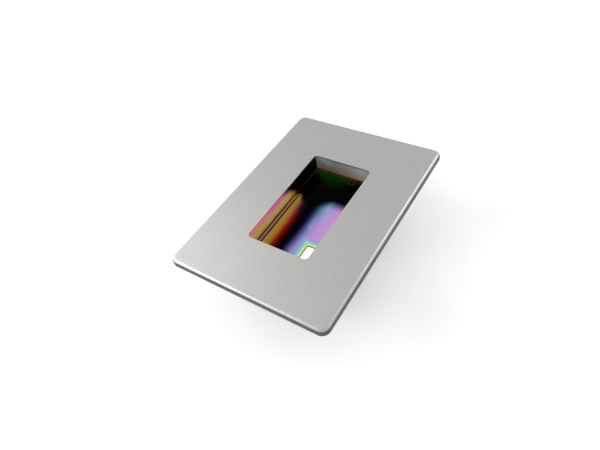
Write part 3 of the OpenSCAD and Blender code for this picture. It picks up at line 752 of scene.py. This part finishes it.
class SCANNER_OT_seals(bpy.types.Operator):
    """Builds the foam seal behind the plate and the rubber seal on the housing"""
    bl_idname = "scanner.seals"
    bl_label = "Seals"

    def execute(self, context):
        bm = bmesh.new()
        loft(bm, hollow(SEAL_HIGH.x, SEAL_HIGH.y, 3 * MM, 4 * MM, SEAL_LOW.z, SEAL_HIGH.z, 0.25 * MM),
             segments=6)
        even(finish_piece("plate_seal_finished", bm, foam("closed-cell foam rubber", "5c5d60", "3d3e41"),
                          replaces="plate_seal"))
        low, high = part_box("housing_seal")
        bm = bmesh.new()
        loft(bm, hollow(high.x, high.y, 3 * MM, 1.4 * MM, low.z, high.z, 0.15 * MM), segments=6)
        rubber = plastic("moulded black rubber", "262628", "18181a", 0.7, 0.8)
        even(finish_piece("housing_seal_finished", bm, rubber, replaces="housing_seal"))
        return {"FINISHED"}


class SCANNER_OT_recess(bpy.types.Operator):
    """Builds the platen's gasket, status window and sensor ring, and coats the glass with its film, its
    painted reflections and its painted glow
    """
    bl_idname = "scanner.recess"
    bl_label = "Finger recess"

    def execute(self, context):
        own = settings("recess")
        dress(platen_film_and_painted_light(), "platen_glass")
        dress(side_film_and_painted_glow(), "side_window_left", "side_window_right")
        x, y, high = GASKET_HIGH
        low = GASKET_LOW.z
        in_x, in_y = x - 3.15 * MM, y - 1.55 * MM
        bead = own.bead
        sections = [(x, y, SHARP, low), (x, y, SHARP, high), (in_x + bead, in_y + bead, SHARP, high),
                    (in_x + bead * SOFT, in_y + bead * SOFT, SHARP, high - bead * SOFT),
                    (in_x, in_y, SHARP, high - bead), (in_x, in_y, SHARP, low)]
        bm = bmesh.new()
        loft(bm, sections, segments=4)
        even(finish_piece("platen_gasket_finished", bm, silicone(own.gasket, own.gasket_far),
                          replaces="platen_gasket"))
        bm = bmesh.new()
        cuboid(bm, WINDOW_LOW, WINDOW_HIGH, own.window_edge, 3)
        even(finish_piece("status_window_finished", bm, opal(), replaces="status_window"))
        low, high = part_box("sensor_ring")
        middle = (low + high) / 2
        radius = (high.x - low.x) / 2
        tall = high.z - low.z
        soft = 0.12 * MM
        inner = radius - 0.45 * MM
        less = soft * SOFT
        profile = [(0, inner), (0, radius), (tall - soft, radius), (tall - less, radius - less),
                   (tall, radius - soft), (tall, inner + soft), (tall - less, inner + less),
                   (tall - soft, inner), (0, inner)]
        bm = bmesh.new()
        lathe(bm, profile, (middle.x, middle.y, low.z), (0, 0, 1))
        red = plastic("moulded dark red acrylic", own.ring, "4a0608", 0.4, 0.4, 0.004,
                      Specular_IOR_Level=0.08)
        even(finish_piece("sensor_ring_finished", bm, red, replaces="sensor_ring"))
        return {"FINISHED"}


class SCANNER_OT_housing(bpy.types.Operator):
    """Finishes the housing, its screws and the wall frame"""
    bl_idname = "scanner.housing"
    bl_label = "Housing and wall frame"

    def execute(self, context):
        own = settings("housing")
        shell = plastic("textured moulded polycarbonate", own.housing, "1c1d1f", 0.5, 0.5, 0.02)
        softened("housing", shell, own.edge)
        zinc = metal("zinc-plated steel", own.frame, "8f9399", 0.32, 2.2, 0.004)
        softened("wall_frame", zinc, own.edge * 0.5)
        nickel = metal("nickel-plated steel screws", "b8b9bb", "8a8b8f", 0.25, 0.6)
        softened("housing_screws", nickel, 0.1 * MM)
        softened("carrier_screws", nickel, 0.08 * MM)
        return {"FINISHED"}


class SCANNER_OT_terminals(bpy.types.Operator):
    """Finishes the screw terminals: header, plug, pins and clamp screws"""
    bl_idname = "scanner.terminals"
    bl_label = "Screw terminals"

    def execute(self, context):
        own = settings("terminals")
        nylon = plastic("moulded green nylon", own.plug, "2c7c38", 0.42, 0.7, 0.01)
        softened("terminal_header", nylon, 0.15 * MM)
        softened("terminal_plug", nylon, 0.15 * MM, body="terminal_plug")
        nickel = metal("nickel-plated brass", "c4c2ba", "96948c", 0.28, 0.5)
        softened("clamp_screws", nickel, 0.08 * MM, body="terminal_plug")
        dress(metal("drawn brass pins", "cdb67a", "a58c4c", 0.25, 0.5), "header_pins")
        return {"FINISHED"}


class SCANNER_OT_switches(bpy.types.Operator):
    """Builds the tamper plunger and its spring, the programming button and their switches"""
    bl_idname = "scanner.switches"
    bl_label = "Tamper switch and button"

    def execute(self, context):
        own = settings("terminals")
        black = plastic("moulded black nylon", "2a2b2d", "1a1b1c", 0.4, 0.5)
        softened("tamper_switch", black, 0.12 * MM)
        softened("program_switch", black, 0.12 * MM)
        ivory = plastic("moulded ivory acetal", "e6e0cf", "cfc8b4", 0.35, 0.7, 0.006)
        low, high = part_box("tamper_plunger")
        middle = (low + high) / 2
        collar = (high.x - low.x) / 2
        stem = collar - 0.7 * MM
        far = high.y - low.y
        collar_end = far - 2.8 * MM
        collar_start = collar_end - MM
        soft = 0.12 * MM
        less = soft * SOFT
        # Its inner end, its collar and its rounded tip
        profile = [(0, 0), (0, stem - soft), (less, stem - less), (soft, stem),
                   (collar_start, stem), (collar_start, collar - soft),
                   (collar_start + less, collar - less), (collar_start + soft, collar),
                   (collar_end - soft, collar), (collar_end - less, collar - less),
                   (collar_end, collar - soft), (collar_end, stem), (far - 0.5 * MM, stem),
                   (far - 0.35 * MM, stem - 0.06 * MM), (far - 0.18 * MM, stem - 0.2 * MM),
                   (far - 0.06 * MM, stem - 0.4 * MM), (far, stem - 0.6 * MM), (far, 0)]
        bm = bmesh.new()
        lathe(bm, profile, (middle.x, low.y, middle.z), (0, 1, 0))
        even(finish_piece("tamper_plunger_finished", bm, ivory, body="tamper_plunger",
                          replaces="tamper_plunger"))
        red = plastic("moulded red acetal", own.button, "8e1c18", 0.35, 0.5, 0.006)
        softened("program_button", red, 0.2 * MM, body="program_button")
        low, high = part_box("tamper_spring")
        middle = (low + high) / 2
        wire_r = 0.15 * MM
        radius = (high.x - low.x) / 2 - wire_r
        turn_steps = 24
        steps = int(own.turns * turn_steps)
        bm = bmesh.new()
        ring = bmesh.ops.create_circle(bm, segments=10, radius=wire_r)["verts"]
        bmesh.ops.transform(bm, matrix=Matrix.Translation((middle.x + radius, low.y + wire_r, middle.z)),
                            verts=ring)
        run = high.y - low.y - 2 * wire_r
        edges = list({edge for vert in ring for edge in vert.link_edges})
        bmesh.ops.spin(bm, geom=ring + edges, cent=middle, axis=(0, 1, 0), dvec=(0, run / steps, 0),
                       angle=2 * math.pi * own.turns, steps=steps)
        bmesh.ops.holes_fill(bm, edges=[edge for edge in bm.edges if edge.is_boundary], sides=12)
        steel = metal("drawn spring steel", "b4b5b8", "7c7d82", 0.25, 0.5)
        spring = finish_piece("tamper_spring_finished", bm, steel, replaces="tamper_spring")
        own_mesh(spring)
        return {"FINISHED"}


class SCANNER_OT_optics(bpy.types.Operator):
    """Finishes the finger sensor, the light strips and the camera's optics"""
    bl_idname = "scanner.optics"
    bl_label = "Optics"

    def execute(self, context):
        dress(plastic("infrared-pass dark red epoxy", "280606", "160404", 0.3, 0.6, 0.002,
                      Specular_IOR_Level=0.08), "finger_sensor")
        dress(plastic("matt black moulded nylon", "202123", "121314", 0.75, 0.5, 0.02), "optics_carrier",
              "lens_barrel", "lens_holder")
        dress(board("solder-masked circuit board", "1d5a34", "2a7a44"), "light_strip_left",
              "light_strip_right", "camera_board", "main_board")
        dress(plastic("clear epoxy over phosphor", "f0ead0", "d8cfa8", 0.25, 0.6, 0.003), "infrared_leds",
              "status_leds")
        dress(plastic("polyimide film over copper", "b46a1e", "8c4c12", 0.3, 1.2, 0.004), "strip_flexes",
              "camera_flex")
        dress(metal("silvered mirror glass", "eeeff0", "dcdee0", 0.06, 6.0, depth_mm=0.0005), "fold_mirror")
        dress(plastic("coated lens glass", "20283c", "141a2a", 0.08, 4.0, 0.0005, Coat_Weight=0.5),
              "front_lens", "infrared_filter")
        dress(plastic("moulded clear acrylic", "e8eef0", "d2dce0", 0.12, 5.0, 0.001), "light_pipe")
        return {"FINISHED"}


class SCANNER_OT_electronics(bpy.types.Operator):
    """Finishes the parts on the circuit boards"""
    bl_idname = "scanner.electronics"
    bl_label = "Electronics"

    def execute(self, context):
        dress(plastic("black epoxy chip package", "2c2d2f", "1c1d1f", 0.5, 0.3, 0.008), "processor",
              "memory_chips", "image_sensor", "buzzer")
        dress(plastic("pressed ferrite", "48484a", "303032", 0.65, 0.5, 0.02), "power_inductor")
        dress(metal("drawn aluminium can", "c6c8ca", "a4a6a9", 0.25, 1.0), "capacitors",
              "crystal_oscillator")
        dress(plastic("ivory moulded nylon", "ded8c4", "c8c1a9", 0.45, 0.7, 0.008), "board_connector",
              "relay")
        return {"FINISHED"}


class SCANNER_OT_stage(bpy.types.Operator):
    """Lays the floor and sets the lights and the camera"""
    bl_idname = "scanner.stage"
    bl_label = "Studio"

    def execute(self, context):
        own = settings("stage")
        scene = context.scene
        floor_r = 2.5
        bm = bmesh.new()
        bmesh.ops.create_circle(bm, cap_ends=True, segments=96, radius=floor_r)
        bmesh.ops.translate(bm, vec=(0, 0, cad_box[0].z), verts=bm.verts)
        mesh = bpy.data.meshes.new("floor")
        bm.to_mesh(mesh)
        bm.free()
        floor = bpy.data.objects.new("floor", mesh)
        scene.collection.objects.link(floor)
        material, tree, shader = surface("matt seamless paper", Roughness=0.9, Specular_IOR_Level=0.1,
                                         Emission_Strength=0.4)
        pulp = grain(tree, object_place(tree), 20.0, 3.0)
        tone = add(tree, "Mix", add(tree, "MapRange", pulp, 0.3, 0.7), own.floor, "fbfbfa", data_type="RGBA")
        wire(tree, shader, Base_Color=tone, Emission_Color=tone)
        mesh.materials.append(material)

        world = bpy.data.worlds.new("studio")
        scene.world = world
        world.use_nodes = True
        # White behind the floor's far edge, and a softer light from higher up
        tree = world.node_tree
        ray = add(tree, "SeparateXYZ", add(tree, "TexCoord").node.outputs["Generated"]).node
        strength = add(tree, "MapRange", ray.outputs["Z"], 0.04, 0.3, 1.0, 0.61,
                       interpolation_type="SMOOTHSTEP")
        backdrop = tree.nodes["Background"]
        backdrop.inputs["Color"].default_value = own.sky
        wire(tree, backdrop, Strength=strength)
        # Softboxes 0.9 m away: name, direction from the object, width and height in metres, power in watts
        distance = 0.9
        boxes = [("key", (-0.84, -0.20, 0.50), 0.6, 0.45, 1.8),
                 ("top", (-0.66, 0.24, 0.71), 0.3, 0.3, 0.25),
                 ("near", (-0.66, -0.58, 0.47), 0.35, 0.25, 1.6),
                 ("far", (0.48, 0.64, 0.60), 0.3, 0.2, 0.72)]
        for name, way, wide, tall, power in boxes:
            data = bpy.data.lights.new(name, "AREA")
            data.shape = "RECTANGLE"
            data.size = wide
            data.size_y = tall
            data.energy = power
            lamp = bpy.data.objects.new(name, data)
            scene.collection.objects.link(lamp)
            lamp.location = Vector(way).normalized() * distance
            lamp.rotation_euler = Vector(way).to_track_quat("Z", "Y").to_euler()

        data = bpy.data.cameras.new("camera")
        data.lens = own.lens
        data.clip_start = 0.01
        data.clip_end = 20
        camera = bpy.data.objects.new("camera", data)
        scene.collection.objects.link(camera)
        level = math.cos(own.elevation)
        back = Vector((math.sin(own.azimuth) * level, -math.cos(own.azimuth) * level,
                       math.sin(own.elevation)))
        across = Vector((0, 0, 1)).cross(back).normalized()
        up = back.cross(across)
        turn = Matrix((across, up, back)).transposed() @ Matrix.Rotation(own.roll, 3, "Z")
        camera.matrix_world = Matrix.Translation(Vector(own.target) + back * own.distance) @ turn.to_4x4()
        scene.camera = camera
        scene.view_settings.view_transform = "Standard"
        return {"FINISHED"}


STEPS = (SCANNER_OT_plate, SCANNER_OT_seals, SCANNER_OT_recess, SCANNER_OT_housing, SCANNER_OT_terminals,
         SCANNER_OT_switches, SCANNER_OT_optics, SCANNER_OT_electronics, SCANNER_OT_stage)


class SCANNER_PT_panel(bpy.types.Panel):
    """Lists the steps that build the terminal, with their settings"""
    bl_label = "Scanner terminal"
    bl_idname = "SCANNER_PT_panel"
    bl_space_type = "VIEW_3D"
    bl_region_type = "UI"
    bl_category = "Terminal"

    def draw(self, context):
        for step in STEPS:
            self.layout.operator(step.bl_idname)
        for group in GROUPS:
            box = self.layout.box()
            box.label(text=group.capitalize())
            for name in GROUPS[group].__annotations__:
                box.prop(settings(group), name)


CLASSES = (*GROUPS.values(), *STEPS, SCANNER_PT_panel)


def register():
    for one in CLASSES:
        bpy.utils.register_class(one)
    for group, kind in GROUPS.items():
        setattr(bpy.types.Scene, "scanner_" + group, PointerProperty(type=kind))


def unregister():
    for group in GROUPS:
        delattr(bpy.types.Scene, "scanner_" + group)
    for one in reversed(CLASSES):
        bpy.utils.unregister_class(one)


def main():
    register()
    for step in STEPS:
        space, name = step.bl_idname.split(".")
        getattr(getattr(bpy.ops, space), name)()


if __name__ == "__main__":
    main()
